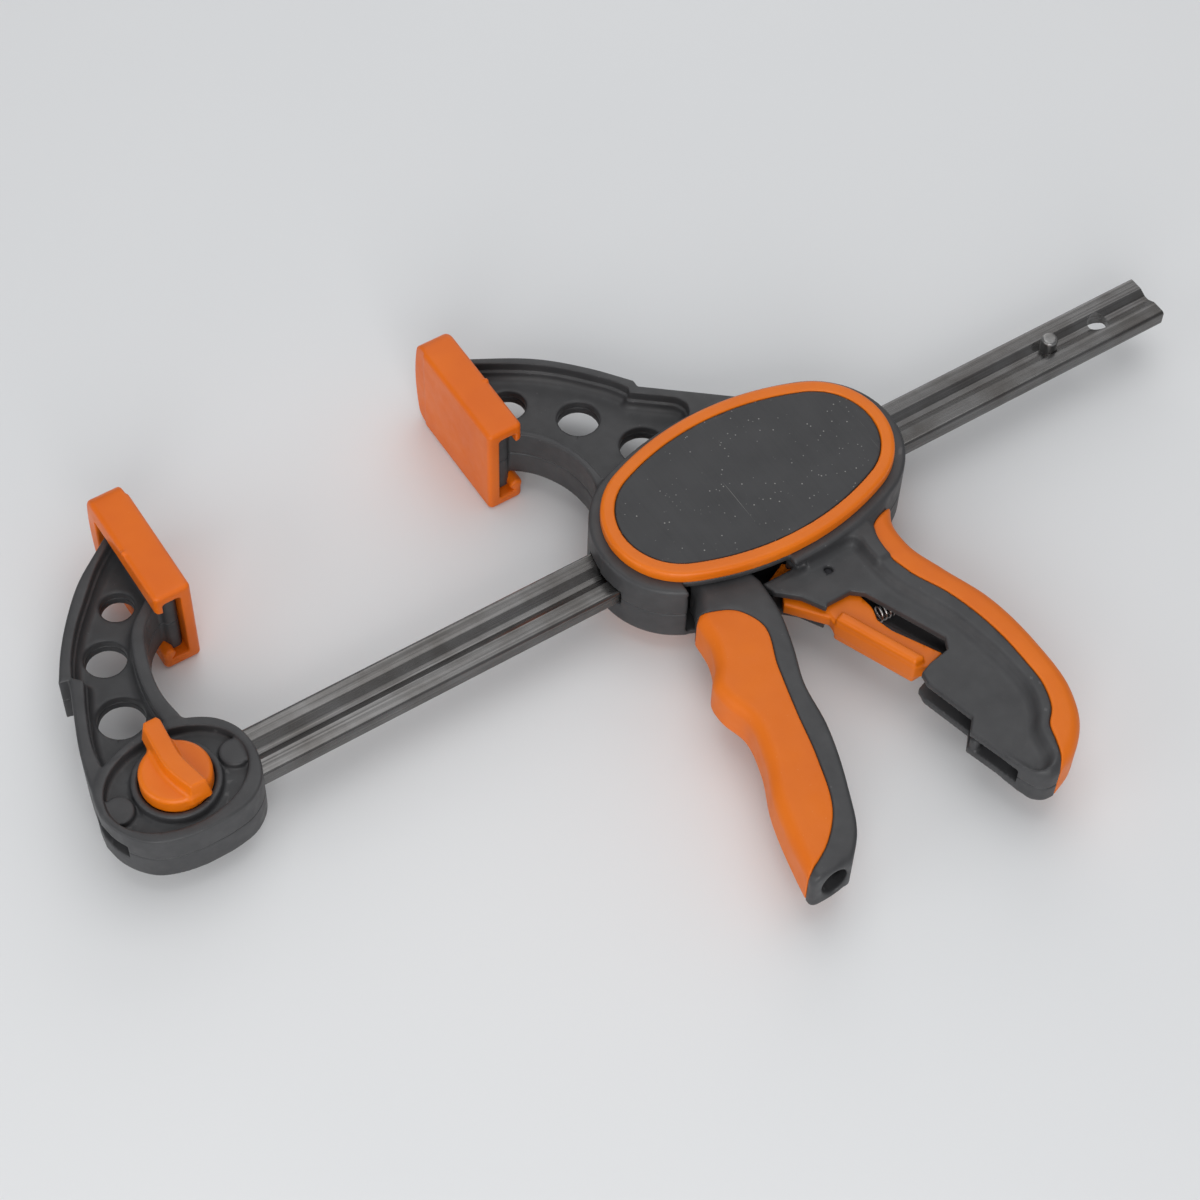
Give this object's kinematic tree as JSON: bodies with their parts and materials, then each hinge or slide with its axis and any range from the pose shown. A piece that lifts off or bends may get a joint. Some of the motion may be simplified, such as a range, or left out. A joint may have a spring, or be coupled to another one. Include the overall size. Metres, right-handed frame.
{
  "type": "quick release bar clamp",
  "caption": "Trigger-driven bar clamp: steel bar, fixed jaw with lock knob, sliding head with squeeze trigger, release lever and soft pads.",
  "frame": {"origin": "centre of the fixed pad's clamping face", "axes": "+X along the bar towards its free end, +Y from the bar to the jaw tips, +Z the thickness, knob side up"},
  "size_m": [0.4167, 0.2515, 0.0404],
  "materials": {
    "bar_steel": "bright cold-rolled steel with rolled grooves",
    "pin_steel": "ground steel pin",
    "screw_steel": "blackened steel",
    "plate_steel": "hardened steel plate",
    "spring_steel": "spring wire",
    "shell_nylon": "dark grey glass-filled nylon, lightly grained",
    "badge_panel": "dark grey plate with a fine speckle",
    "orange_moulding": "orange moulding, half gloss",
    "soft_grip": "soft orange overmoulding, matte",
    "pad_rubber": "soft orange pad, matte"
  },
  "bodies": {
    "bar_assembly": {"bar": "bar_steel", "stop_pin": "pin_steel", "fixed_jaw_upper": "shell_nylon", "fixed_jaw_lower": "shell_nylon", "fixed_jaw_screws": "screw_steel", "fixed_pad": "pad_rubber"},
    "knob": {"lock_knob": "orange_moulding", "lock_spring": "spring_steel"},
    "lock_bolt": {"lock_pin": "pin_steel"},
    "head": {"head_shell_upper": "shell_nylon", "head_shell_lower": "shell_nylon", "head_screws": "screw_steel", "grip_screws": "screw_steel", "trim_ring_upper": "orange_moulding", "trim_ring_lower": "orange_moulding", "badge_plate_upper": "badge_panel", "badge_plate_lower": "badge_panel", "handle_grip": "soft_grip", "moving_pad": "pad_rubber", "trigger_pins": "pin_steel", "lever_pin": "pin_steel", "drive_spring": "spring_steel", "brake_spring": "spring_steel", "release_spring": "spring_steel"},
    "trigger": {"trigger_frame": "shell_nylon", "trigger_grip": "soft_grip"},
    "drive": {"drive_plate_front": "plate_steel", "drive_plate_rear": "plate_steel"},
    "lever": {"release_lever": "orange_moulding"},
    "brake": {"brake_plate": "plate_steel"}
  },
  "joints": [
    {"name": "knob_turn", "type": "hinge", "parent": "bar_assembly", "child": "knob", "pos_m": [-0.036, -0.082, 0.012], "axis": [0, 0, 1], "range_deg": [0, 90]},
    {"name": "lock_pin_lift", "type": "slide", "parent": "bar_assembly", "child": "lock_bolt", "axis": [0, 0, 1], "range_m": [0, 0.0075], "deforming": ["lock_spring"]},
    {"name": "head_slide", "type": "slide", "parent": "bar_assembly", "child": "head", "axis": [1, 0, 0], "range_m": [-0.112, 0.065]},
    {"name": "trigger_squeeze", "type": "hinge", "parent": "head", "child": "trigger", "pos_m": [0.15, -0.082, 0], "axis": [0, 0, 1], "range_deg": [0, 22], "stiffness_Nm_per_rad": 1.2, "deforming": ["drive_spring"]},
    {"name": "drive_push", "type": "slide", "parent": "head", "child": "drive", "axis": [1, 0, 0], "range_m": [0, 0.0073]},
    {"name": "release_squeeze", "type": "hinge", "parent": "head", "child": "lever", "pos_m": [0.1853, -0.1218, 0], "axis": [0, 0, 1], "range_deg": [0, 7], "stiffness_Nm_per_rad": 0.8, "deforming": ["release_spring", "brake_spring"]},
    {"name": "brake_tilt", "type": "hinge", "parent": "head", "child": "brake", "pos_m": [0.1875, -0.0965, 0], "axis": [0, 0, 1], "range_deg": [-3.5, 0]}
  ],
  "couplings": [
    {"joint": "lock_pin_lift", "follows": "knob_turn", "m_per_rad": 0.00477},
    {"joint": "drive_push", "follows": "trigger_squeeze", "m_per_rad": 0.019},
    {"joint": "brake_tilt", "follows": "release_squeeze", "ratio": -0.5}
  ]
}
